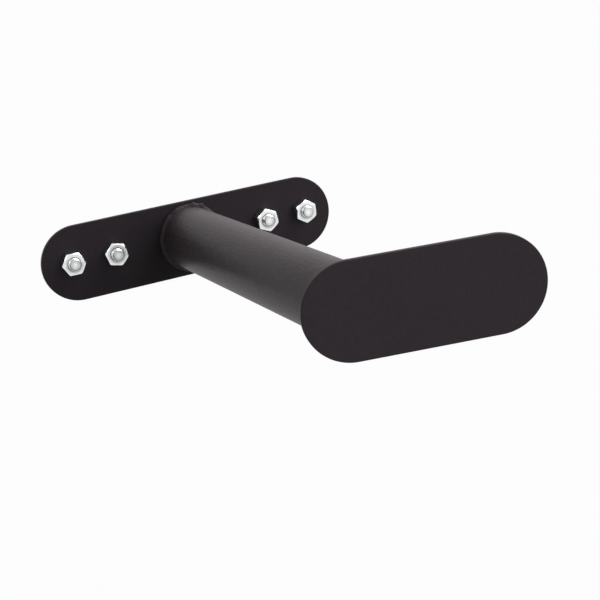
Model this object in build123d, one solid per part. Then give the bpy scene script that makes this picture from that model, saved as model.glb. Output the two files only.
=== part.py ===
"""Wall-mounted pull-up arm: a round bar welded between a wall plate and a leaning end plate.

Sizes are in millimetres. The origin is the middle of the wall plate's rear face, +X runs along
the wall plate towards the long side of the end plate, +Y goes into the wall and +Z is up.
"""
import os
from math import cos, radians, sin, tan

from build123d import *

# Bar between the two plates, measured along its axis
BAR_D = 50.0
BAR_WALL = 3.0
BAR_REACH = 300.0

# Wall plate: a flat bar with round ends and a row of holes, two on each side of the bar
WALL_LENGTH = 248.0
WALL_MARGIN = 5.0
PLATE_T = 4.0
PLATE_EDGE_R = 0.6
HOLE_TO_END = 24.0
HOLE_PITCH = 35.0
ROW_LIFT = 1.5
HOLE_PLAY = 0.5
BOLT_D = 10.0

# End plate: it leans outwards, and the bar meets it near its short end
END_LENGTH = 158.0
END_MARGIN = 7.5
END_LEAN = 13.5
END_HEEL = 37.5

# Weld beads: narrow on the plate, with a longer climb along the bar
WELD_FOOT = 2.6
WELD_CLIMB = 4.4
WELD_LIP = 0.3
WELD_SWELL = 0.6

# M10 nuts, each left at its own angle
NUT_FLATS = 17.0
NUT_HEIGHT = 8.0
NUT_FACE_D = 16.2
NUT_MOUTH = 0.5
NUT_CONE = radians(30)
NUT_TURNS = (0.0, -13.0, 37.0, 28.0)
THREAD_PLAY = 0.05

# Expansion anchors behind the nuts
ANCHOR_LENGTH = 70.0
ANCHOR_PROUD = 3.5
ANCHOR_TIP = 1.0
THREAD_LENGTH = 45.0
SHANK_D = 9.0
CONE_D = 13.0
CONE_LENGTH = 14.0
CONE_FOOT = 4.5
SLEEVE_D = 14.0
SLEEVE_BORE_D = 10.6
SLEEVE_SETBACK = 4.0
SLOT_COUNT = 4
SLOT_WIDTH = 1.5
SLOT_LENGTH = 18.0
SLOT_TURN = 45.0

# Derived sizes and places
WALL_WIDTH = BAR_D + 2 * WALL_MARGIN
END_WIDTH = BAR_D + 2 * END_MARGIN
END_SHIFT = END_LENGTH / 2 - END_HEEL
OUTER_X = WALL_LENGTH / 2 - HOLE_TO_END
INNER_X = OUTER_X - HOLE_PITCH
ANCHOR_X = (-OUTER_X, -INNER_X, INNER_X, OUTER_X)
NUT_SEAT = -PLATE_T
ANCHOR_FRONT = NUT_SEAT - NUT_HEIGHT - ANCHOR_PROUD
ANCHOR_BACK = ANCHOR_FRONT + ANCHOR_LENGTH
CONE_BACK = ANCHOR_BACK - CONE_FOOT
CONE_FRONT = CONE_BACK - CONE_LENGTH
SLEEVE_GRIP = (SLEEVE_BORE_D - SHANK_D) / (CONE_D - SHANK_D)
SLEEVE_BACK = CONE_FRONT + SLEEVE_GRIP * CONE_LENGTH
LEAN = radians(END_LEAN)

# Planes look outwards, away from the wall
WALL_FRONT = Plane.XZ.offset(PLATE_T)
END_REAR = Plane(
    origin=(0, -PLATE_T - BAR_REACH, 0),
    x_dir=(cos(LEAN), -sin(LEAN), 0),
    z_dir=(-sin(LEAN), -cos(LEAN), 0),
)


def soften_outline(plate, normal):
    """Round the outer edges of a plate's two faces."""
    faces = plate.faces().sort_by(Axis((0, 0, 0), normal))
    edges = faces[0].outer_wire().edges() + faces[-1].outer_wire().edges()
    return fillet(edges, PLATE_EDGE_R)


def make_wall_plate():
    outline = SlotOverall(WALL_LENGTH, WALL_WIDTH)
    holes = [Pos(x, ROW_LIFT) * Circle(BOLT_D / 2 + HOLE_PLAY) for x in ANCHOR_X]
    plate = extrude(Plane.XZ * (outline - holes), PLATE_T)
    return soften_outline(plate, Plane.XZ.z_dir)


def make_end_plate():
    outline = Pos(END_SHIFT, 0) * SlotOverall(END_LENGTH, END_WIDTH)
    plate = extrude(END_REAR * outline, PLATE_T)
    return soften_outline(plate, END_REAR.z_dir)


def make_bar():
    """A tube, square at the wall and cut to the lean of the end plate."""
    ring = Circle(BAR_D / 2) - Circle(BAR_D / 2 - BAR_WALL)
    stock = extrude(WALL_FRONT * ring, BAR_REACH + BAR_D)
    return split(stock, bisect_by=END_REAR, keep=Keep.BOTTOM)


def make_weld(plate_plane, lean, towards):
    """A fillet bead round the bar; towards is the way along the bar, off the plate."""
    sections = []
    crown = (WELD_FOOT + WELD_LIP) / 2 + WELD_SWELL
    for height, grow in ((0, WELD_FOOT), (WELD_CLIMB / 2, crown), (WELD_CLIMB, WELD_LIP)):
        place = Plane(
            origin=plate_plane.origin + Vector(0, towards * height, 0),
            x_dir=plate_plane.x_dir,
            z_dir=plate_plane.z_dir,
        )
        sections.append(place * Ellipse(BAR_D / 2 / cos(lean) + grow, BAR_D / 2 + grow))
    bead = loft(sections, ruled=True)
    bar_space = extrude(Plane.XZ.offset(-BAR_D) * Circle(BAR_D / 2), BAR_REACH + 3 * BAR_D)
    return bead - bar_space


def make_nut(x, turn):
    """A hexagon with both ends turned to a cone, and a plain bore for the thread."""
    rim = NUT_FLATS / 2 / cos(radians(30))
    drop = (rim - NUT_FACE_D / 2) * tan(NUT_CONE)
    turned = [
        (0, 0),
        (NUT_FACE_D / 2, 0),
        (rim, drop),
        (rim, NUT_HEIGHT - drop),
        (NUT_FACE_D / 2, NUT_HEIGHT),
        (0, NUT_HEIGHT),
    ]
    blank = revolve(Plane.XZ * make_face(Polyline(*turned, close=True)), Axis.Z)
    hexagon = RegularPolygon(NUT_FLATS / 2, 6, major_radius=False, rotation=turn)
    bore_r = BOLT_D / 2 + THREAD_PLAY
    nut = blank & extrude(hexagon, NUT_HEIGHT)
    nut -= Pos(0, 0, NUT_HEIGHT / 2) * Cylinder(bore_r, 2 * NUT_HEIGHT)
    mouths = nut.edges().filter_by(GeomType.CIRCLE)
    nut = chamfer([e for e in mouths if abs(e.radius - bore_r) < 1e-6], NUT_MOUTH)
    return WALL_FRONT * Pos(x, ROW_LIFT, 0) * nut


def turned_about_anchor(x, points):
    """Turn a profile of (radius, y) points about an anchor's own axis."""
    profile = make_face(Polyline(*points, close=True))
    return Pos(x, 0, ROW_LIFT) * revolve(profile, Axis.Y)


def make_anchor_stud(x):
    points = [
        (0, ANCHOR_FRONT),
        (BOLT_D / 2 - ANCHOR_TIP, ANCHOR_FRONT),
        (BOLT_D / 2, ANCHOR_FRONT + ANCHOR_TIP),
        (BOLT_D / 2, ANCHOR_FRONT + THREAD_LENGTH),
        (SHANK_D / 2, ANCHOR_FRONT + THREAD_LENGTH + (BOLT_D - SHANK_D) / 2),
        (SHANK_D / 2, CONE_FRONT),
        (CONE_D / 2, CONE_BACK),
        (CONE_D / 2, ANCHOR_BACK - ANCHOR_TIP),
        (CONE_D / 2 - ANCHOR_TIP, ANCHOR_BACK),
        (0, ANCHOR_BACK),
    ]
    return turned_about_anchor(x, points)


def make_anchor_sleeve(x):
    """A tube with slots at the cone's end, so that the cone can spread it."""
    points = [
        (SLEEVE_BORE_D / 2, SLEEVE_SETBACK),
        (SLEEVE_D / 2, SLEEVE_SETBACK),
        (SLEEVE_D / 2, SLEEVE_BACK),
        (SLEEVE_BORE_D / 2, SLEEVE_BACK),
    ]
    sleeve = turned_about_anchor(x, points)
    for i in range(SLOT_COUNT):
        slot = Pos(SLEEVE_D / 2, -SLOT_LENGTH / 2, 0) * Box(SLEEVE_D, SLOT_LENGTH, SLOT_WIDTH)
        sleeve -= Pos(x, SLEEVE_BACK, ROW_LIFT) * Rot(0, SLOT_TURN + i * 360 / SLOT_COUNT, 0) * slot
    return sleeve


parts = {
    "wall_plate": make_wall_plate(),
    "bar_tube": make_bar(),
    "end_plate": make_end_plate(),
    "wall_weld": make_weld(WALL_FRONT, 0.0, -1),
    "end_weld": make_weld(END_REAR, LEAN, 1),
}
for number, (x, turn) in enumerate(zip(ANCHOR_X, NUT_TURNS), start=1):
    parts[f"nut_{number}"] = make_nut(x, turn)
    parts[f"anchor_stud_{number}"] = make_anchor_stud(x)
    parts[f"anchor_sleeve_{number}"] = make_anchor_sleeve(x)

os.makedirs("parts", exist_ok=True)
for node, shape in parts.items():
    export_step(shape, f"parts/{node}.step")
    box = shape.bounding_box()
    print(node, round(shape.volume), [round(v, 2) for v in (*box.min, *box.max)])
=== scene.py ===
# %% [markdown]
# # A wall-mounted pull-up arm
#
# This lesson dresses the CAD model of a black steel arm. A round bar is welded between a wall plate
# and a leaning end plate, and four plated anchors with hex nuts hold the arm to a wall. The CAD model
# is loaded as a fixed frame: every piece made here lies exactly where the CAD says, in metres. The CAD
# solids have no threads, ripples or finish, so each is replaced by a finer mesh of the same size.

# %% Load the frame
from math import ceil, cos, pi, radians, sin, tan

import bmesh
import bpy
from mathutils import Matrix, Vector


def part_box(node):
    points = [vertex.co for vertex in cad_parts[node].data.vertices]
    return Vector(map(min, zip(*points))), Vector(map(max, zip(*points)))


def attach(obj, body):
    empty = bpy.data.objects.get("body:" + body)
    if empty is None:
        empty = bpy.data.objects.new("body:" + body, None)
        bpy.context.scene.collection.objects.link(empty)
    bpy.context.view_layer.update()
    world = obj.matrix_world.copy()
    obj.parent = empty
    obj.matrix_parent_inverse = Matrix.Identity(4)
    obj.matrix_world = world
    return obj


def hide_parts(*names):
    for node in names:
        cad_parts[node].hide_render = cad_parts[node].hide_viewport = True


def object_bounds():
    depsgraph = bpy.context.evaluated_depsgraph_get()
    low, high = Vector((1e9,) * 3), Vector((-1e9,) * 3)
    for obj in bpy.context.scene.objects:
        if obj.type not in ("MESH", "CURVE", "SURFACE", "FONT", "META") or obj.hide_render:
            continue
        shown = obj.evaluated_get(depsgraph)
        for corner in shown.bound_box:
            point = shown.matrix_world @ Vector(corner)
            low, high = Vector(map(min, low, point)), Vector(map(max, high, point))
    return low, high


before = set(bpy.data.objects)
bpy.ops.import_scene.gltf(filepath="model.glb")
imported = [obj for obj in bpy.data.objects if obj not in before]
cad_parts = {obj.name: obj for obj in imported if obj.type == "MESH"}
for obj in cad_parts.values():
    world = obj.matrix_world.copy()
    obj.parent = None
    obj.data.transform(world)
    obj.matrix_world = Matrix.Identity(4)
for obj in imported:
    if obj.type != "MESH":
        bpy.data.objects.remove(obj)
cad_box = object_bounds()
scene = bpy.context.scene
MM = 0.001

# %% [markdown]
# ## Camera
#
# The arm was photographed with a long lens from the front left and a little above, with the camera
# rolled slightly. A camera can be set by eye, but then every outline is a little off, so the place, turn
# and lens below were fitted to the outlines of the two plates and the bar. A square picture uses the
# full sensor width, so the lens is written for a 36 mm sensor.

# %% Place the camera
CAMERA_PLACE = Vector((-340.7, -1034.4, 229.6)) * MM
CAMERA_TURN = (74.651, 7.768, -24.626)
LENS_MM = 82.17
SENSOR_MM = 36.0

lens = bpy.data.cameras.new("camera")
lens.lens = LENS_MM
lens.sensor_width = SENSOR_MM
camera = bpy.data.objects.new("camera", lens)
camera.location = CAMERA_PLACE
camera.rotation_euler = [radians(turn) for turn in CAMERA_TURN]
scene.collection.objects.link(camera)
scene.camera = camera
print("camera:", LENS_MM, "mm lens at", [round(v, 3) for v in CAMERA_PLACE])

# %% [markdown]
# ## Numbers that become nodes
#
# Shapes and finishes below are node trees. A tree written out node by node is long and hard to read, so
# two small helpers do the wiring. The first makes one node and fills its sockets, with a link where the
# value comes from another node.

# %% A helper that adds a node
def fill(tree, socket, value):
    """Link a socket to a value that comes from another node, or set it to a plain value."""
    if isinstance(value, Num):
        value = value.socket
    if isinstance(value, bpy.types.NodeSocket):
        tree.links.new(value, socket)
    else:
        socket.default_value = value


def add_node(tree, kind, inputs=None, **settings):
    """Add one node, set its own properties, then fill its sockets by name or number."""
    made = tree.nodes.new(kind)
    for name, value in settings.items():
        setattr(made, name, value)
    for name, value in (inputs or {}).items():
        fill(tree, made.inputs[name], value)
    return made


print("helper: add_node")

# %% [markdown]
# The second helper stands for a number inside a tree. Adding or multiplying two of them adds a Math
# node, so a formula in the script looks like the formula on paper.

# %% A number that adds Math nodes
class Num:
    """A number inside a node tree, on which arithmetic adds Math nodes."""

    def __init__(self, tree, socket):
        self.tree = tree
        self.socket = socket

    def math(self, operation, *values):
        made = add_node(self.tree, "ShaderNodeMath", dict(enumerate(values)), operation=operation)
        return Num(self.tree, made.outputs[0])

    def __add__(self, other):
        return self.math("ADD", self, other)

    def __sub__(self, other):
        return self.math("SUBTRACT", self, other)

    def __rsub__(self, other):
        return self.math("SUBTRACT", other, self)

    def __mul__(self, other):
        return self.math("MULTIPLY", self, other)

    def __truediv__(self, other):
        return self.math("DIVIDE", self, other)

    def sin(self):
        return self.math("SINE", self)

    def cos(self):
        return self.math("COSINE", self)

    def exp(self):
        return self.math("EXPONENT", self)

    def floor(self):
        return self.math("FLOOR", self)

    def fract(self):
        return self.math("FRACT", self)

    def abs(self):
        return self.math("ABSOLUTE", self)

    def least(self, other):
        return self.math("MINIMUM", self, other)

    def most(self, other):
        return self.math("MAXIMUM", self, other)

    def wrap(self, high, low):
        return self.math("WRAP", self, high, low)

    def clamp(self):
        return self.most(0.0).least(1.0)


print("helper: Num")

# %% [markdown]
# ## Studio
#
# The picture has a pure white background and soft light. White could come from more light, but that
# would bleach the arm too. So what the camera and shiny metal see of the world is plain white, through
# the Light Path node, while the world throws little light on the arm.

# %% World
WORLD_LIGHT = 0.03
WHITE = (1.0, 1.0, 1.0, 1.0)
SEEN_RAYS = ("Is Camera Ray", "Is Glossy Ray", "Is Transmission Ray")


def seen_directly(tree):
    """1 for rays from the camera, from glossy metal or through glass, and 0 for light."""
    path = add_node(tree, "ShaderNodeLightPath")
    rays = [Num(tree, path.outputs[kind]) for kind in SEEN_RAYS]
    return rays[0].most(rays[1]).most(rays[2])


scene.view_settings.view_transform = "Standard"
scene.world = bpy.data.worlds.new("studio")
scene.world.use_nodes = True
tree = scene.world.node_tree
tree.nodes.clear()
strength = seen_directly(tree) * (1.0 - WORLD_LIGHT) + WORLD_LIGHT
backdrop = add_node(tree, "ShaderNodeBackground", {"Color": WHITE, "Strength": strength})
add_node(tree, "ShaderNodeOutputWorld", {"Surface": backdrop.outputs[0]})
print("world: white to the eye,", WORLD_LIGHT, "as light")

# %% [markdown]
# The floor lies well below the arm, because the arm hangs on a wall. A floor that only glows would lose
# the shadow. So most of it glows for the camera and stays white, and the rest is grey paper under the
# lamps, which keeps a faint shadow and throws little light back.

# %% Floor
FLOOR_DROP = 220.0 * MM
FLOOR_REACH = 30.0
FLOOR_GLOW = 0.975
PAPER = (0.18, 0.18, 0.18, 1.0)

paper = bpy.data.materials.new("floor_paper")
paper.use_nodes = True
tree = paper.node_tree
tree.nodes.clear()
lit = add_node(tree, "ShaderNodeBsdfDiffuse", {"Color": PAPER})
glow = add_node(tree, "ShaderNodeEmission", {"Color": WHITE, "Strength": 1.0})
share = seen_directly(tree) * FLOOR_GLOW
mixed = add_node(tree, "ShaderNodeMixShader", {0: share, 1: lit.outputs[0], 2: glow.outputs[0]})
add_node(tree, "ShaderNodeOutputMaterial", {"Surface": mixed.outputs[0]})

floor_mesh = bpy.data.meshes.new("floor")
floor_z = cad_box[0].z - FLOOR_DROP
sides = ((-1, -1), (1, -1), (1, 1), (-1, 1))
corners = [(x * FLOOR_REACH, y * FLOOR_REACH, floor_z) for x, y in sides]
floor_mesh.from_pydata(corners, [], [range(4)])
floor_mesh.materials.append(paper)
floor = bpy.data.objects.new("floor", floor_mesh)
scene.collection.objects.link(floor)
print("floor: at", round(floor_z, 3), "m")

# %% [markdown]
# Area lamps would light the near side more than the far one. Sun lamps light every side evenly, and a
# wide angle makes them soft, as large softboxes are. The key comes from the right front, and a stronger
# one from above draws the pale band along the top of the bar. A weak one comes from the left and behind:
# the wall plate stops it beside the wall, which leaves the bar darker there. Two small ones only sparkle
# on the plating. Each lamp below has its strength, its spread and its turns about X, Y and Z in degrees.

# %% Lamps
LAMPS = {
    "key_light": (2.3, 60.0, (55.0, 87.0, 0.0)),
    "top_light": (3.2, 50.0, (2.0, 40.0, 0.0)),
    "back_light": (0.5, 60.0, (-35.0, -90.0, 0.0)),
    "right_spark": (0.2, 18.0, (38.0, 31.0, 0.0)),
    "left_spark": (0.2, 18.0, (49.0, -50.0, 0.0)),
}

for name, (energy, spread, turns) in LAMPS.items():
    light = bpy.data.lights.new(name, "SUN")
    light.energy = energy
    light.angle = radians(spread)
    lamp = bpy.data.objects.new(name, light)
    lamp.rotation_euler = [radians(turn) for turn in turns]
    scene.collection.objects.link(lamp)
print("lamps:", ", ".join(LAMPS))

# %% [markdown]
# ## Black coat
#
# The arm is powder coated: black plastic powder is baked on, which leaves a satin skin with a soft
# orange peel and a fine grain. A plain black would look like a hole in the picture, and a painted image
# would need unwrapping. So the coat is made of noises that read Object coordinates, which lie still on
# the piece as it moves.

# %% Helpers for finishes
def noise(tree, where, size, detail):
    """A noise whose blobs are about as large as size."""
    inputs = {"Vector": where, "Scale": 1.0 / size, "Detail": detail}
    return Num(tree, add_node(tree, "ShaderNodeTexNoise", inputs).outputs[0])


def stretched(tree, where, scale):
    """Coordinates for a pattern that is drawn out or packed along the axes."""
    return add_node(tree, "ShaderNodeMapping", {"Vector": where, "Scale": scale}).outputs[0]


def between(share, ends):
    """A number between two others, by a share from 0 to 1."""
    low, high = ends
    return share * (high - low) + low


def blend_colours(tree, share, first, second):
    """A colour between two others; the node keeps its colours in sockets 6 and 7."""
    inputs = {0: share, 6: first, 7: second}
    return add_node(tree, "ShaderNodeMix", inputs, data_type="RGBA").outputs[2]


def opaque(colour):
    """A colour with the alpha that a colour socket asks for."""
    return (*colour, 1.0)


def start_material(name):
    """A new material with one Principled shader, and the Object coordinates that its noises read."""
    made = bpy.data.materials.new(name)
    made.use_nodes = True
    tree = made.node_tree
    where = add_node(tree, "ShaderNodeTexCoord").outputs["Object"]
    return made, tree, tree.nodes["Principled BSDF"], where


def raise_surface(tree, shader, height):
    """Give a shader a relief whose height is in metres."""
    bump = add_node(tree, "ShaderNodeBump", {"Height": height, "Distance": 1.0, "Strength": 1.0})
    fill(tree, shader.inputs["Normal"], bump.outputs[0])


print("helpers: noise, colour and relief")

# %% [markdown]
# Three noises make a coat: wide clouds, the peel and the grain. Their sum picks a tone between a dark
# and a light one, and the two finer noises also set the gloss and the relief. The bar is seen almost
# along its length, where round grain looks like rings, so its peel and grain are drawn out along it.

# %% A function for the coat
CLOUD_SIZE = 45.0 * MM
CLOUD_SHARE = 0.25
PEEL_SHARE = 0.45
GRAIN_SHARE = 0.3
MOTTLE_CONTRAST = 2.5


def make_coat(name, dark, light, gloss, specular, tint, peel, grain, drawn=1.0):
    """Powder coat between two tones. Peel and grain are each a size and a depth of relief, and drawn
    says how much longer their blobs are along the bar."""
    made, tree, shader, where = start_material(name)
    along = stretched(tree, where, (1.0, 1.0 / drawn, 1.0))
    clouds = noise(tree, where, CLOUD_SIZE, detail=4.0)
    grains = noise(tree, along, grain[0], detail=1.0)
    peels = noise(tree, along, peel[0], detail=2.0)
    mottle = clouds * CLOUD_SHARE + peels * PEEL_SHARE + grains * GRAIN_SHARE
    share = ((mottle - 0.5) * MOTTLE_CONTRAST + 0.5).clamp()
    fill(tree, shader.inputs["Base Color"], blend_colours(tree, share, opaque(dark), opaque(light)))
    fill(tree, shader.inputs["Roughness"], between((peels + grains) / 2, gloss))
    raise_surface(tree, shader, peels * peel[1] + grains * grain[1])
    shader.inputs["Specular IOR Level"].default_value = specular
    shader.inputs["Specular Tint"].default_value = opaque(tint)
    return made


print("coat: clouds of", CLOUD_SIZE / MM, "mm")

# %% [markdown]
# One powder is made here in copies of different tone. The wall plate's copy is the darkest, as
# painted shade, and the end plate's copy is a little lighter, as painted light. The bar is greyer with a
# deep, coarse grain. The beads are close to the end plate in tone and a little glossier.

# %% Four coats
plate_skin = {
    "gloss": (0.46, 0.60),
    "tint": (1.0, 0.88, 0.97),
    "peel": (2.2 * MM, 0.012 * MM),
    "grain": (0.45 * MM, 0.004 * MM),
}
# the darkest copy of the plate coat: painted shade
shaded_wall_coat = make_coat(
    "shaded_wall_coat",
    dark=(0.0145, 0.0117, 0.0140),
    light=(0.0219, 0.0178, 0.0209),
    specular=0.13,
    **plate_skin,
)
# a lighter copy of the same plate coat: painted light
lit_end_coat = make_coat(
    "lit_end_coat",
    dark=(0.0256, 0.0208, 0.0248),
    light=(0.0365, 0.0300, 0.0352),
    specular=0.16,
    **plate_skin,
)
bar_coat = make_coat(
    "bar_coat",
    dark=(0.0328, 0.0268, 0.0280),
    light=(0.0715, 0.0584, 0.0611),
    gloss=(0.39, 0.50),
    specular=0.142,
    tint=(1.0, 0.85, 0.88),
    peel=(2.6 * MM, 0.2 * MM),
    grain=(1.1 * MM, 0.16 * MM),
    drawn=2.6,
)
weld_coat = make_coat(
    "weld_coat",
    dark=(0.0220, 0.0185, 0.0210),
    light=(0.0360, 0.0305, 0.0345),
    gloss=(0.42, 0.56),
    specular=0.16,
    tint=(1.0, 0.92, 0.97),
    peel=(2.2 * MM, 0.02 * MM),
    grain=(0.45 * MM, 0.006 * MM),
)
print("coats:", shaded_wall_coat.name, lit_end_coat.name, bar_coat.name, weld_coat.name)

# %% [markdown]
# ## Two flat plates
#
# Each plate is cut from flat bar with round ends. Holes could be cut from a solid with booleans, which
# leave ragged faces, so a filled 2D curve makes the plate: one outline and any holes, a thickness, and a
# bevel that rounds the rim. The bevel grows the outline, so the curve is first drawn in by the same
# amount.

# %% Outlines of the plates
FULL_TURN = 2 * pi
PLATE_T = 4.0 * MM
RIM_R = 0.6 * MM
RIM_STEPS = 4
ARC_STEPS = 64


def arc_points(radius, start, turn, x=0.0, y=0.0):
    """Points along an arc, from a start angle through a turn."""
    angles = [start + turn * step / ARC_STEPS for step in range(ARC_STEPS + 1)]
    return [(x + radius * cos(angle), y + radius * sin(angle)) for angle in angles]


def stadium_points(length, width):
    """A flat bar's outline: two straight sides joined by half circles."""
    reach = (length - width) / 2
    right = arc_points(width / 2, -pi / 2, pi, x=reach)
    left = arc_points(width / 2, pi / 2, pi, x=-reach)
    return right + left


def outline_curve(outlines):
    """A filled 2D curve of plate thickness with a rounded rim."""
    curve = bpy.data.curves.new("outline", "CURVE")
    curve.dimensions = "2D"
    curve.fill_mode = "BOTH"
    curve.extrude = PLATE_T / 2 - RIM_R
    curve.bevel_depth = RIM_R
    curve.bevel_resolution = RIM_STEPS
    curve.offset = -RIM_R
    for points in outlines:
        spline = curve.splines.new("POLY")
        spline.points.add(len(points) - 1)
        for point, (x, y) in zip(spline.points, points):
            point.co = (x, y, 0.0, 1.0)
        spline.use_cyclic_u = True
    return curve


print("outlines:", PLATE_T / MM, "mm thick")

# %% [markdown]
# A curve and an object with modifiers are made plain meshes as soon as they are whole, because a piece
# is handed over with nothing live on it. Merging doubles closes the seams, and then the faces are turned
# outwards. Each piece names the body that it rides on and the CAD node that it stands for.

# %% From shape to piece
MERGE_GAP = 0.002 * MM


def plain_mesh(source, name):
    """The evaluated shape of an object as a mesh of its own; the object goes."""
    scene.collection.objects.link(source)
    graph = bpy.context.evaluated_depsgraph_get()
    mesh = bpy.data.meshes.new_from_object(source.evaluated_get(graph))
    bpy.data.objects.remove(source)
    mesh.name = name
    return mesh


def close_and_shade(mesh, name, crease):
    """Merge doubles, point the faces outwards and shade smooth up to an angle."""
    work = bmesh.new()
    work.from_mesh(mesh)
    bmesh.ops.remove_doubles(work, verts=work.verts, dist=MERGE_GAP)
    bmesh.ops.dissolve_degenerate(work, edges=work.edges, dist=MERGE_GAP)
    bmesh.ops.recalc_face_normals(work, faces=work.faces)
    open_edges = sum(not edge.is_manifold for edge in work.edges)
    work.to_mesh(mesh)
    work.free()
    mesh.shade_smooth()
    mesh.set_sharp_from_angle(angle=crease)
    print(name, len(mesh.polygons), "faces,", open_edges, "open edges")


def hand_over(name, mesh, material, body, node):
    """Make a piece of a finished mesh, hang it on its body and hide the CAD node that it stands for."""
    mesh.materials.clear()
    mesh.materials.append(material)
    piece = bpy.data.objects.new(name, mesh)
    scene.collection.objects.link(piece)
    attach(piece, body)
    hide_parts(node)


print("helpers: seams closed to", MERGE_GAP / MM, "mm")

# %% [markdown]
# The end plate leans: its own X axis is turned about the vertical, away from the wall on its long
# side. Both plates use one placing function, with no lean for the wall plate. A plate's flat faces must
# shade flat right up to the rim, so the edges where a flat face ends are marked sharp.

# %% Stand a plate in its place
FLAT_COSINE = 0.9999
PLATE_CREASE = radians(60)


def plate_place(rear_y, lean, shift):
    """A matrix that stands a flat plate up: its rear face at rear_y on the bar's axis."""
    along = Vector((cos(lean), -sin(lean), 0.0))
    up = Vector((0.0, 0.0, 1.0))
    out = along.cross(up)
    origin = Vector((0.0, rear_y, 0.0)) + along * shift + out * (PLATE_T / 2)
    return Matrix.Translation(origin) @ Matrix((along, up, out)).transposed().to_4x4()


def keep_faces_flat(mesh, normal):
    """Mark the edges round a plate's two flat faces as sharp."""
    work = bmesh.new()
    work.from_mesh(mesh)
    for edge in work.edges:
        flat = [abs(face.normal.dot(normal)) > FLAT_COSINE for face in edge.link_faces]
        edge.smooth = all(flat) or not any(flat)
    work.to_mesh(mesh)
    work.free()


def make_plate(node, coat, outlines, place):
    """Fill an outline, stand it in its place and coat it."""
    name = f"coated_{node}"
    mesh = plain_mesh(bpy.data.objects.new(name, outline_curve(outlines)), name)
    mesh.transform(place)
    close_and_shade(mesh, name, PLATE_CREASE)
    keep_faces_flat(mesh, place.col[2].xyz)
    hand_over(name, mesh, coat, "arm", node)


print("helper: make_plate")

# %% [markdown]
# The wall plate has a hole for each anchor, read from the CAD model. The end plate has none, and the bar
# meets it near its short end, which is called the heel here.

# %% Make both plates
LEAN = radians(13.5)
BAR_REACH = 300.0 * MM
WALL_FRONT = -PLATE_T
END_REAR = WALL_FRONT - BAR_REACH
WALL_LENGTH = 248.0 * MM
WALL_WIDTH = 60.0 * MM
END_LENGTH = 158.0 * MM
END_WIDTH = 65.0 * MM
END_HEEL = 37.5 * MM
HOLE_R = 5.5 * MM
ANCHORS = (1, 2, 3, 4)


def middle(node):
    """The middle of a CAD node's box."""
    low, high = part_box(node)
    return (low + high) / 2


ANCHOR_X = {number: middle(f"anchor_stud_{number}").x for number in ANCHORS}
ROW_Z = middle("anchor_stud_1").z

holes = [arc_points(HOLE_R, 0.0, FULL_TURN, x, ROW_Z)[:-1] for x in ANCHOR_X.values()]
wall_outlines = [stadium_points(WALL_LENGTH, WALL_WIDTH), *holes]
make_plate("wall_plate", shaded_wall_coat, wall_outlines, plate_place(0.0, 0.0, 0.0))
end_outlines = [stadium_points(END_LENGTH, END_WIDTH)]
make_plate("end_plate", lit_end_coat, end_outlines, plate_place(END_REAR, LEAN, END_LENGTH / 2 - END_HEEL))
print("plates: holes at", [round(x / MM, 1) for x in ANCHOR_X.values()], "mm")

# %% [markdown]
# ## A tree that turns a sheet
#
# The bar, the beads, the nuts and the anchors are all round something. Each could be a lathe shape with
# cuts, but threads and ripples would be hard to add, so one idea makes them all: a flat grid is wrapped
# round an axis that runs along Y. In Geometry Nodes that is a Grid and a Set Position. The sizes are
# named inputs of the tree, and every tree ends by realising its instances and setting the material.

# %% Start and end a tree
def start_tree(name, sizes):
    """A Geometry Nodes tree with a named input for each size."""
    tree = bpy.data.node_groups.new(name, "GeometryNodeTree")
    tree.interface.new_socket("Geometry", in_out="OUTPUT", socket_type="NodeSocketGeometry")
    for label in sizes:
        tree.interface.new_socket(label, in_out="INPUT", socket_type="NodeSocketFloat")
    given = add_node(tree, "NodeGroupInput")
    return tree, [Num(tree, given.outputs[label]) for label in sizes]


def end_tree(tree, sheets, material):
    """Join the sheets, close their seams, realise instances and set the material."""
    joined = add_node(tree, "GeometryNodeJoinGeometry")
    for sheet in sheets:
        tree.links.new(sheet, joined.inputs[0])
    whole = add_node(tree, "GeometryNodeRealizeInstances", {0: joined.outputs[0]})
    seams = {"Geometry": whole.outputs[0], "Distance": MERGE_GAP}
    merged = add_node(tree, "GeometryNodeMergeByDistance", seams)
    finish = {"Geometry": merged.outputs[0], "Material": material}
    dressed = add_node(tree, "GeometryNodeSetMaterial", finish)
    add_node(tree, "NodeGroupOutput", {0: dressed.outputs[0]})


print("helpers: start_tree and end_tree")

# %% [markdown]
# The grid's columns become angles, and its rows become stations, each with a radius and a depth along
# the axis. A sheet can also keep with its points how deep they lie in a groove, for the plating to read.

# %% Wrap a sheet
GROOVE = "groove"


def with_groove(tree, sheet, groove):
    """Keep the groove with the mesh."""
    inputs = {"Geometry": sheet, "Name": GROOVE, "Value": groove}
    kept = add_node(tree, "GeometryNodeStoreNamedAttribute", inputs, data_type="FLOAT", domain="POINT")
    return kept.outputs[0]


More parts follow.
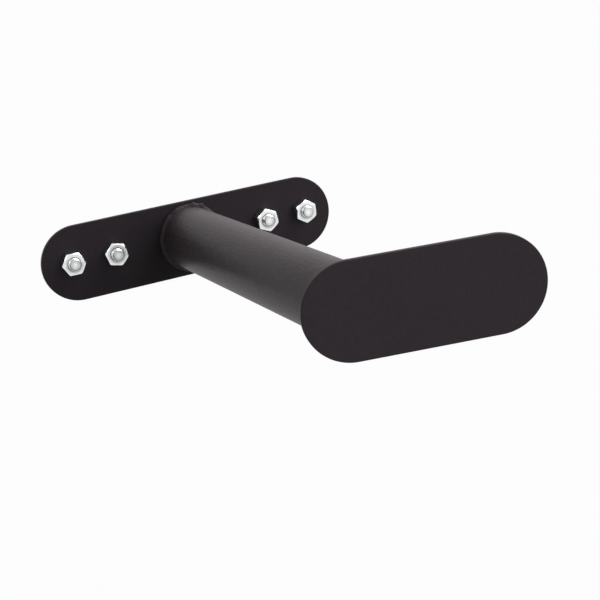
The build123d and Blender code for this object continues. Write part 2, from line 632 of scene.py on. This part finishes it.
def wrapped_sheet(tree, columns, rows, centre, shape, cut=None):
    """Wrap a grid round an axis along Y; shape turns (u, v) into angle, radius, depth and any groove."""
    extent = {"Size X": 1.0, "Size Y": 1.0, "Vertices X": columns + 1, "Vertices Y": rows + 1}
    sheet = add_node(tree, "GeometryNodeMeshGrid", extent).outputs["Mesh"]
    where = add_node(tree, "GeometryNodeInputPosition").outputs[0]
    flat = add_node(tree, "ShaderNodeSeparateXYZ", {0: where})
    u = Num(tree, flat.outputs["X"]) + 0.5
    v = Num(tree, flat.outputs["Y"]) + 0.5
    if cut:
        waste = {"Geometry": sheet, "Selection": cut(u, v)}
        sheet = add_node(tree, "GeometryNodeDeleteGeometry", waste, domain="FACE").outputs[0]
    angle, radius, depth, *groove = shape(u, v)
    if groove:
        sheet = with_groove(tree, sheet, groove[0])
    x, z = centre
    spot = {"X": radius * angle.cos() + x, "Y": depth, "Z": radius * angle.sin() + z}
    place = add_node(tree, "ShaderNodeCombineXYZ", spot).outputs[0]
    return add_node(tree, "GeometryNodeSetPosition", {"Geometry": sheet, "Position": place}).outputs[0]


def pick(tree, v, choices):
    """The value of the station that row v belongs to."""
    made = add_node(tree, "GeometryNodeIndexSwitch", data_type="FLOAT")
    while len(made.index_switch_items) < len(choices):
        made.index_switch_items.new()
    fill(tree, made.inputs["Index"], (v * (len(choices) - 1) + 0.5).floor())
    for number, choice in enumerate(choices):
        fill(tree, made.inputs[str(number)], choice)
    return Num(tree, made.outputs[0])


print("helpers: wrapped_sheet and pick")

# %% [markdown]
# A tree runs as a modifier on an empty mesh. Its inputs are set by the sockets' identifiers, before the
# object is first evaluated, and the result is kept as a plain mesh.

# %% Run a tree
def run_tree(tree, name, sizes):
    """Run a tree with these sizes and keep the result as a plain mesh."""
    holder = bpy.data.objects.new(name, bpy.data.meshes.new(name))
    modifier = holder.modifiers.new("grow", "NODES")
    modifier.node_group = tree
    for item in tree.interface.items_tree:
        if item.in_out == "INPUT":
            modifier[item.identifier] = float(sizes[item.name])
    return plain_mesh(holder, name)


def grow(tree, name, sizes, crease):
    """Run a tree, then close and shade its mesh."""
    mesh = run_tree(tree, name, sizes)
    close_and_shade(mesh, name, crease)
    return mesh


print("helpers: run_tree and grow")

# %% [markdown]
# ## Bar
#
# The bar is a steel tube, square at the wall and cut to the lean of the end plate. A tube could be cut
# with a boolean, but here the lean is simply part of the formula: the depth of the cut depends on where
# a point is across the tube. The sheet has five stations: out along the outside, over the cut end, back
# along the bore and over the other end.

# %% Make the bar
BAR_R = 25.0 * MM
BAR_WALL = 3.0 * MM
BAR_COLUMNS = 160
BAR_ROWS = 4
BAR_CREASE = radians(40)


def bar_tree():
    """A tube whose far end is cut to a slope."""
    names = ("Radius", "Wall", "Start", "End", "Lean slope")
    tree, (radius, wall, start, end, slope) = start_tree("bar", names)

    def shape(u, v):
        angle = u * FULL_TURN
        across = angle.cos()
        inside = radius - wall
        outer_end = end - slope * radius * across
        inner_end = end - slope * inside * across
        radii = pick(tree, v, [radius, radius, inside, inside, radius])
        depths = pick(tree, v, [start, outer_end, inner_end, start, start])
        return angle, radii, depths

    end_tree(tree, [wrapped_sheet(tree, BAR_COLUMNS, BAR_ROWS, (0.0, 0.0), shape)], bar_coat)
    return tree


bar_sizes = {
    "Radius": BAR_R,
    "Wall": BAR_WALL,
    "Start": WALL_FRONT,
    "End": END_REAR,
    "Lean slope": tan(LEAN),
}
bar_mesh = grow(bar_tree(), "coated_bar", bar_sizes, BAR_CREASE)
hand_over("coated_bar", bar_mesh, bar_coat, "arm", "bar_tube")
print("bar:", round(BAR_REACH / MM), "mm long on its axis")

# %% [markdown]
# ## Weld beads
#
# A bead of weld metal runs round the bar at each plate. On the real arm it is narrow on the plate,
# climbs a little further up the bar, has a ripple for every step of the torch, and has two lumps where
# the welder started and stopped, with a few smaller ones. It could be sculpted, but a formula follows
# the lean of the end plate too. Unevenness comes from a noise, and the lumps from bell curves at chosen
# angles.

# %% Lumps on a bead
# Each lump has its angle in degrees, its height in millimetres and its width in degrees
LUMPS = (
    (80, 1.6, 7.0),
    (65, 1.9, 6.0),
    (133, 0.6, 7.0),
    (113, 0.5, 6.0),
    (190, 0.7, 6.0),
    (20, 0.5, 8.0),
)


def lump_height(angle):
    """How far the lumps stand out at an angle round the bar."""
    total = 0.0
    for degrees, height, width in LUMPS:
        half_turn = pi / radians(width)
        away = ((angle - radians(degrees)) / radians(width)).wrap(half_turn, -half_turn)
        total = (0.0 - away * away).exp() * (height * MM) + total
    return total


print("lumps:", len(LUMPS), "on each bead")

# %% [markdown]
# The bead's sheet is a closed loop in section: a swelling face from its toe on the plate to its lip on
# the bar, then a corner sunk into both. Ripples come from a sine along the angle, bent back by the row
# to make the usual crescents. The face swells outwards more than it swells along the bar.

# %% A tree for the beads
BEAD_COLUMNS = 720
BEAD_ROWS = 14
CORNER_ROW = BEAD_ROWS - 1
LIP_ROW = BEAD_ROWS - 2
BEAD_SINK = 0.3 * MM
SWELL_OUT = 0.86
SWELL_ALONG = 0.5
RIPPLE_COUNT = 84
RIPPLE_BEND = 1.6
UNEVEN_SIZE = 6.0 * MM
UNEVEN_TOE = 0.5


def bead_tree():
    """A rippled bead round the bar; way is 1 or -1 along Y, off the plate."""
    names = ("Bar radius", "Foot", "Climb", "Swell", "Ripple", "Uneven", "Plate", "Lean slope", "Way")
    tree, sizes = start_tree("bead", names)
    bar, foot, climb, swell, ripple, uneven, plate, slope, way = sizes

    def shape(u, v):
        angle = u * FULL_TURN
        row = v * BEAD_ROWS
        face = (row / LIP_ROW).least(1.0) * (1.0 - (row - CORNER_ROW).clamp())
        buried = (1.0 - (row - CORNER_ROW).abs()).clamp()
        arch = (face * pi).sin()
        wave = (angle * RIPPLE_COUNT + arch * RIPPLE_BEND).sin()
        spot = {"X": angle.cos() * bar, "Y": plate, "Z": angle.sin() * bar}
        on_bar = add_node(tree, "ShaderNodeCombineXYZ", spot).outputs[0]
        rough = (noise(tree, on_bar, UNEVEN_SIZE, detail=3.0) - 0.5) * uneven
        push = arch * (swell + wave * ripple + rough + lump_height(angle))
        reach = (foot + rough * UNEVEN_TOE) * (1.0 - face)
        radius = bar + reach + push * SWELL_OUT - buried * BEAD_SINK
        height = climb * face * (1.0 - buried) + push * SWELL_ALONG - buried * BEAD_SINK
        depth = plate - slope * radius * angle.cos() + way * height
        return angle, radius, depth

    end_tree(tree, [wrapped_sheet(tree, BEAD_COLUMNS, BEAD_ROWS, (0.0, 0.0), shape)], weld_coat)
    return tree


bead = bead_tree()
print("bead tree:", len(bead.nodes), "nodes")

# %% [markdown]
# Both beads come from this one tree. The bead at the wall climbs towards the front and has no lean, and
# the one behind the end plate climbs back towards the wall.

# %% Make the beads
BEAD_FOOT = 2.6 * MM
BEAD_CLIMB = 4.2 * MM
BEAD_SWELL = 1.0 * MM
RIPPLE_DEPTH = 0.05 * MM
UNEVEN_DEPTH = 1.7 * MM
BEAD_CREASE = radians(70)

bead_sizes = {
    "Bar radius": BAR_R,
    "Foot": BEAD_FOOT,
    "Climb": BEAD_CLIMB,
    "Swell": BEAD_SWELL,
    "Ripple": RIPPLE_DEPTH,
    "Uneven": UNEVEN_DEPTH,
}
bead_ends = {
    "wall_weld": {"Plate": WALL_FRONT, "Lean slope": 0.0, "Way": -1.0},
    "end_weld": {"Plate": END_REAR, "Lean slope": tan(LEAN), "Way": 1.0},
}
for node, end in bead_ends.items():
    mesh = grow(bead, f"coated_{node}", {**bead_sizes, **end}, BEAD_CREASE)
    hand_over(f"coated_{node}", mesh, weld_coat, "arm", node)
print("beads:", ", ".join(bead_ends))

# %% [markdown]
# ## Zinc plating
#
# The nuts and anchors are zinc plated steel: a bright, slightly cool metal with soft clouds in the
# plating, fine marks from tumbling in a barrel and finer rings from the lathe. One grey would look like
# paint, so it is a metal shader with an uneven tone and roughness. The thread sheets below store how
# deep each point lies in its groove, and the plating is darker there: partly oil and dust that stay
# there, and partly painted shade in the roots of the thread.

# %% A function for the plating
PLATING_CLOUD = 6.0 * MM
CLOUD_TONE = 0.7
TUMBLE_SIZE = 0.35 * MM
TUMBLE_TONE = 0.3
LATHE_SIZE = 1.4 * MM
LATHE_PACK = (1.0, 9.0, 1.0)
# how strongly the thread grooves darken: oil and dust, with painted shade
SHADE_AND_OIL_GAIN = 1.6
SHADE_AND_OIL_COVER = (0.6, 1.0)
GRIME_ROUGH = 0.2


def make_plating(name, bright, dull, groove_shade_and_oil, gloss, relief):
    """Zinc plating between two tones, darker in grooves with oil and painted shade."""
    made, tree, shader, where = start_material(name)
    cloud = noise(tree, where, PLATING_CLOUD, detail=3.0)
    tumble = noise(tree, where, TUMBLE_SIZE, detail=2.0)
    lathe = noise(tree, stretched(tree, where, LATHE_PACK), LATHE_SIZE, detail=2.0)
    share = (cloud * CLOUD_TONE + tumble * TUMBLE_TONE).clamp()
    clean = blend_colours(tree, share, opaque(bright), opaque(dull))
    deep = Num(tree, add_node(tree, "ShaderNodeAttribute", attribute_name=GROOVE).outputs["Fac"])
    # painted shade and oil: the plating darkens towards a near black in the thread grooves
    shade_and_oil = (deep * SHADE_AND_OIL_GAIN).clamp() * between(cloud, SHADE_AND_OIL_COVER).clamp()
    fill(tree, shader.inputs["Base Color"], blend_colours(tree, shade_and_oil, clean, opaque(groove_shade_and_oil)))
    rough = between((cloud + lathe) / 2, gloss) + deep * GRIME_ROUGH
    fill(tree, shader.inputs["Roughness"], rough.clamp())
    raise_surface(tree, shader, (tumble + lathe) * relief)
    shader.inputs["Metallic"].default_value = 1.0
    return made


print("plating: clouds of", PLATING_CLOUD / MM, "mm")

# %% [markdown]
# The nuts and the stud tips are bright. The sleeves behind the plate are plain tube, so their zinc is
# darker and rougher and doesn't outshine the nuts from the side.

# %% Three platings
nut_zinc = make_plating(
    "nut_zinc",
    bright=(0.93, 0.94, 0.94),
    dull=(0.70, 0.72, 0.73),
    groove_shade_and_oil=(0.08, 0.08, 0.08),
    gloss=(0.12, 0.30),
    relief=0.006 * MM,
)
stud_zinc = make_plating(
    "stud_zinc",
    bright=(0.95, 0.96, 0.95),
    dull=(0.78, 0.80, 0.80),
    groove_shade_and_oil=(0.05, 0.05, 0.05),
    gloss=(0.16, 0.34),
    relief=0.008 * MM,
)
sleeve_zinc = make_plating(
    "sleeve_zinc",
    bright=(0.34, 0.35, 0.34),
    dull=(0.22, 0.23, 0.23),
    groove_shade_and_oil=(0.05, 0.05, 0.05),
    gloss=(0.34, 0.50),
    relief=0.010 * MM,
)
print("platings:", nut_zinc.name, stud_zinc.name, sleeve_zinc.name)

# %% [markdown]
# ## A thread that meshes
#
# Nut and stud share one metric thread. Rows of a flat grid would cut across the thread and leave
# steps, so the rows climb with it: each row drops by one pitch over a full turn, which puts every crest
# and root on a row of its own. Rows that would pass an end are held there, and merging closes them. The
# groove of a point depends only on its row, so stud and nut mesh wherever they meet: the frame slides
# a stud by one pitch while its nut makes one turn.

# %% Helpers for threads
PITCH = 1.5 * MM
PITCH_ROWS = 8
CREST_R = 5.0 * MM
ROOT_R = 4.15 * MM
ROOT_FLAT = 0.18
FLANK = 0.66
THREAD_GAP = 0.12 * MM
THREAD_END = 2.0 * MM
THREAD_CREASE = radians(28)


def thread_row(u, v, rows, start, front, back):
    """Angle, depth and groove of a point on a climbing row; start is in turns."""
    turns = u + start
    first = (front / PITCH + start).floor()
    row = v * (rows / PITCH_ROWS)
    depth = ((first + row - turns) * PITCH).most(front).least(back)
    ridge = (row.fract() * 2.0 - 1.0).abs()
    groove = 1.0 - ((ridge - ROOT_FLAT) / FLANK).clamp()
    return turns * FULL_TURN, depth, groove


def rows_for(length):
    """Rows that cover a length at every angle, with a turn to spare at each end."""
    return ceil((length / PITCH + 2) * PITCH_ROWS)


def anchor_spot(number):
    """An anchor's axis, as inputs of a tree."""
    return {"Place": ANCHOR_X[number], "Lift": ROW_Z}


print("thread pitch:", PITCH / MM, "mm in", PITCH_ROWS, "rows")

# %% [markdown]
# ## Nuts
#
# Each nut is a hexagon, 17 mm across its flats, with both ends turned to a cone, so its corners are
# cut to curves. A cylinder with six sides would have plain corners. The radius of a hexagon at any angle
# is a short formula, and the cone says how far a point at that radius lies behind the face, so the
# curved edges fall on a row of the sheet and stay crisp. A second sheet is the threaded bore.

# %% A tree for the nuts
NUT_COLUMNS = 96
SHELL_ROWS = 5
HEX_SIDE = FULL_TURN / 6
NUT_CONE = radians(30)
CORNER_KEPT = 0.985


def nut_tree(height):
    """A hexagon with coned ends, slightly blunt corners and a threaded bore."""
    names = ("Place", "Lift", "Front", "Back", "Flats", "Face", "Mouth", "Turn")
    tree, (place, lift, front, back, flats, face, mouth, turn) = start_tree("nut", names)
    bore_rows = rows_for(height)

    def shell(u, v):
        across = (u * FULL_TURN).wrap(HEX_SIDE, 0.0) - HEX_SIDE / 2
        corner = flats * (CORNER_KEPT / 2 / cos(HEX_SIDE / 2))
        side = (flats / 2 / across.cos()).least(corner)
        drop = (side - face) * tan(NUT_CONE)
        radius = pick(tree, v, [mouth, face, side, side, face, mouth])
        depth = pick(tree, v, [front, front, front + drop, back - drop, back, back])
        return (u + turn) * FULL_TURN, radius, depth

    def bore(u, v):
        angle, depth, groove = thread_row(u, v, bore_rows, turn, front, back)
        radius = CREST_R + THREAD_GAP - groove * (CREST_R - ROOT_R)
        radius = radius.most(mouth - (depth - front)).most(mouth - (back - depth))
        return angle, radius, depth, groove

    sheets = [
        wrapped_sheet(tree, NUT_COLUMNS, SHELL_ROWS, (place, lift), shell),
        wrapped_sheet(tree, NUT_COLUMNS, bore_rows, (place, lift), bore),
    ]
    end_tree(tree, sheets, nut_zinc)
    return tree


nut_front, nut_back = (corner.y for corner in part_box("nut_1"))
nut = nut_tree(nut_back - nut_front)
print("nut tree:", len(nut.nodes), "nodes")

# %% [markdown]
# Nobody lines nuts up, so each was left at its own angle when it was tight. The angles, in degrees, were
# read from the picture. The tree takes them in turns. They turn the hexagon only: the thread inside
# stays in step with the stud.

# %% Make the nuts
NUT_FLATS = 17.0 * MM
NUT_FACE_R = 8.1 * MM
NUT_MOUTH_R = 5.6 * MM
NUT_TURNS = {1: 0.0, 2: -13.0, 3: 37.0, 4: 28.0}

nut_sizes = {
    "Front": nut_front,
    "Back": nut_back,
    "Flats": NUT_FLATS,
    "Face": NUT_FACE_R,
    "Mouth": NUT_MOUTH_R,
}
for number in ANCHORS:
    name = f"plated_nut_{number}"
    sizes = {**anchor_spot(number), **nut_sizes, "Turn": NUT_TURNS[number] / 360}
    mesh = grow(nut, name, sizes, THREAD_CREASE)
    hand_over(name, mesh, nut_zinc, f"nut_{number}", f"nut_{number}")
print("nuts:", round((nut_back - nut_front) / MM, 1), "mm high")

# %% [markdown]
# ## Anchor studs
#
# A stud is a threaded rod that ends in a cone behind the wall plate. The thread could be a screw
# modifier on a rod, but its ends would stay open. So three sheets make the stud: the flat tip, the
# thread with its turned point, and the plain back end with the cone. The thread fades out over its last
# two millimetres, as a rolled thread does. The back end keeps the oil that it was made with, so all of
# it counts as half deep in a groove, which dulls its plating.

# %% A tree for the studs
STUD_COLUMNS = 64
TIP_ROWS = 1
REAR_ROWS = 6
TIP = 1.0 * MM
THREAD_LENGTH = 45.0 * MM
CONE_LENGTH = 14.0 * MM
CONE_FOOT = 4.5 * MM
REAR_GRIME = 0.5


def stud_tree():
    """A threaded rod with a turned point and a cone at its back."""
    names = ("Place", "Lift", "Front", "Back", "Crest", "Root", "Shank", "Cone")
    tree, (place, lift, front, back, crest, root, shank, cone) = start_tree("stud", names)
    thread_rows = rows_for(THREAD_LENGTH)
    thread_back = front + THREAD_LENGTH
    cone_back = back - CONE_FOOT

    def tip(u, v):
        return u * FULL_TURN, pick(tree, v, [0.0, crest - TIP]), front

    def thread(u, v):
        angle, depth, groove = thread_row(u, v, thread_rows, 0.0, front, thread_back)
        groove = groove * ((thread_back - depth) / THREAD_END).clamp()
        radius = (crest - groove * (crest - root)).least(crest - TIP + depth - front)
        return angle, radius, depth, groove

    def rear(u, v):
        shank_front = thread_back + (crest - shank)
        cone_front = cone_back - CONE_LENGTH
        radii = [crest, shank, shank, cone, cone, cone - TIP, 0.0]
        depths = [thread_back, shank_front, cone_front, cone_back, back - TIP, back, back]
        return u * FULL_TURN, pick(tree, v, radii), pick(tree, v, depths), REAR_GRIME

    sheets = [
        wrapped_sheet(tree, STUD_COLUMNS, TIP_ROWS, (place, lift), tip),
        wrapped_sheet(tree, STUD_COLUMNS, thread_rows, (place, lift), thread),
        wrapped_sheet(tree, STUD_COLUMNS, REAR_ROWS, (place, lift), rear),
    ]
    end_tree(tree, sheets, stud_zinc)
    return tree


stud = stud_tree()
print("stud tree:", len(stud.nodes), "nodes")

# %% [markdown]
# All four studs have the same sizes. Only the axis differs, and the two ends are read from the CAD
# model, so that the studs stand out of their nuts just as far as they do there.

# %% Make the studs
SHANK_R = 4.5 * MM
CONE_R = 6.5 * MM

stud_front, stud_back = (corner.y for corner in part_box("anchor_stud_1"))
stud_sizes = {
    "Front": stud_front,
    "Back": stud_back,
    "Crest": CREST_R,
    "Root": ROOT_R,
    "Shank": SHANK_R,
    "Cone": CONE_R,
}
for number in ANCHORS:
    name = f"plated_stud_{number}"
    mesh = grow(stud, name, {**anchor_spot(number), **stud_sizes}, THREAD_CREASE)
    hand_over(name, mesh, stud_zinc, f"anchor_{number}", f"anchor_stud_{number}")
print("studs:", round((stud_back - stud_front) / MM, 1), "mm long")

# %% [markdown]
# ## Expansion sleeves
#
# A sleeve is a short tube round the stud, slit at its far end so that the cone can spread it inside
# the wall. The slits could be booleans, but deleting faces leaves cleaner edges. The sheet is the
# outside only: its columns crowd together beside the slits, and the faces in a slit, which lie in the
# first two of its three rows, are deleted before the sheet is wrapped.

# %% A tree for the sleeves
SLIT_COUNT = 4
SLIT_START = radians(45)
SLIT_ROWS = 2
SLEEVE_ROWS = 3
FINGER_COLUMNS = 14
SECTOR_COLUMNS = FINGER_COLUMNS + 2
SECTOR = FULL_TURN / SLIT_COUNT


def sleeve_tree():
    """The outside of a slit tube; half is the angle of half a slit."""
    names = ("Place", "Lift", "Front", "Back", "Radius", "Slit length", "Slit angle")
    tree, (place, lift, front, back, radius, slit, half) = start_tree("sleeve", names)

    def column(u):
        return (u * SLIT_COUNT).fract() * SECTOR_COLUMNS

    def shape(u, v):
        at = column(u)
        finger = (SECTOR - half * 2.0) * ((at - 1.0) / FINGER_COLUMNS).clamp()
        beside = half * (at.clamp() + (at - (SECTOR_COLUMNS - 1)).clamp())
        angle = beside + finger + (u * SLIT_COUNT).floor() * SECTOR + SLIT_START
        return angle, radius, pick(tree, v, [back, back - slit * 0.5, back - slit, front])

    def in_slit(u, v):
        past_finger = (column(u) - SECTOR_COLUMNS / 2).abs() - FINGER_COLUMNS / 2
        return past_finger.most(0.0) * (SLIT_ROWS / SLEEVE_ROWS - v).most(0.0)

    columns = SLIT_COUNT * SECTOR_COLUMNS
    sheet = wrapped_sheet(tree, columns, SLEEVE_ROWS, (place, lift), shape, cut=in_slit)
    end_tree(tree, [sheet], sleeve_zinc)
    return tree


sleeve = sleeve_tree()
print("sleeve tree:", len(sleeve.nodes), "nodes")

# %% [markdown]
# Solidify then gives the wall its thickness, inwards from the sheet, and Bevel breaks the edges that a
# saw would leave.

# %% Make the sleeves
SLEEVE_WALL = 1.7 * MM
SLIT_WIDTH = 1.5 * MM
SLIT_LENGTH = 18.0 * MM
EDGE_BREAK = 0.2 * MM
EDGE_STEPS = 2
EDGE_ANGLE = radians(50)
SLEEVE_CREASE = radians(35)

sleeve_low, sleeve_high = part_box("anchor_sleeve_1")
sleeve_r = (sleeve_high.z - sleeve_low.z) / 2
sleeve_sizes = {
    "Front": sleeve_low.y,
    "Back": sleeve_high.y,
    "Radius": sleeve_r,
    "Slit length": SLIT_LENGTH,
    "Slit angle": SLIT_WIDTH / 2 / sleeve_r,
}
for number in ANCHORS:
    name = f"plated_sleeve_{number}"
    sheet = run_tree(sleeve, name, {**anchor_spot(number), **sleeve_sizes})
    shell = bpy.data.objects.new(name, sheet)
    wall = shell.modifiers.new("wall", "SOLIDIFY")
    wall.thickness = SLEEVE_WALL
    wall.offset = -1.0
    edges = shell.modifiers.new("edges", "BEVEL")
    edges.width = EDGE_BREAK
    edges.segments = EDGE_STEPS
    edges.limit_method = "ANGLE"
    edges.angle_limit = EDGE_ANGLE
    mesh = plain_mesh(shell, name)
    close_and_shade(mesh, name, SLEEVE_CREASE)
    hand_over(name, mesh, sleeve_zinc, f"anchor_{number}", f"anchor_sleeve_{number}")
print("sleeves:", round(2 * sleeve_r / MM, 1), "mm across")
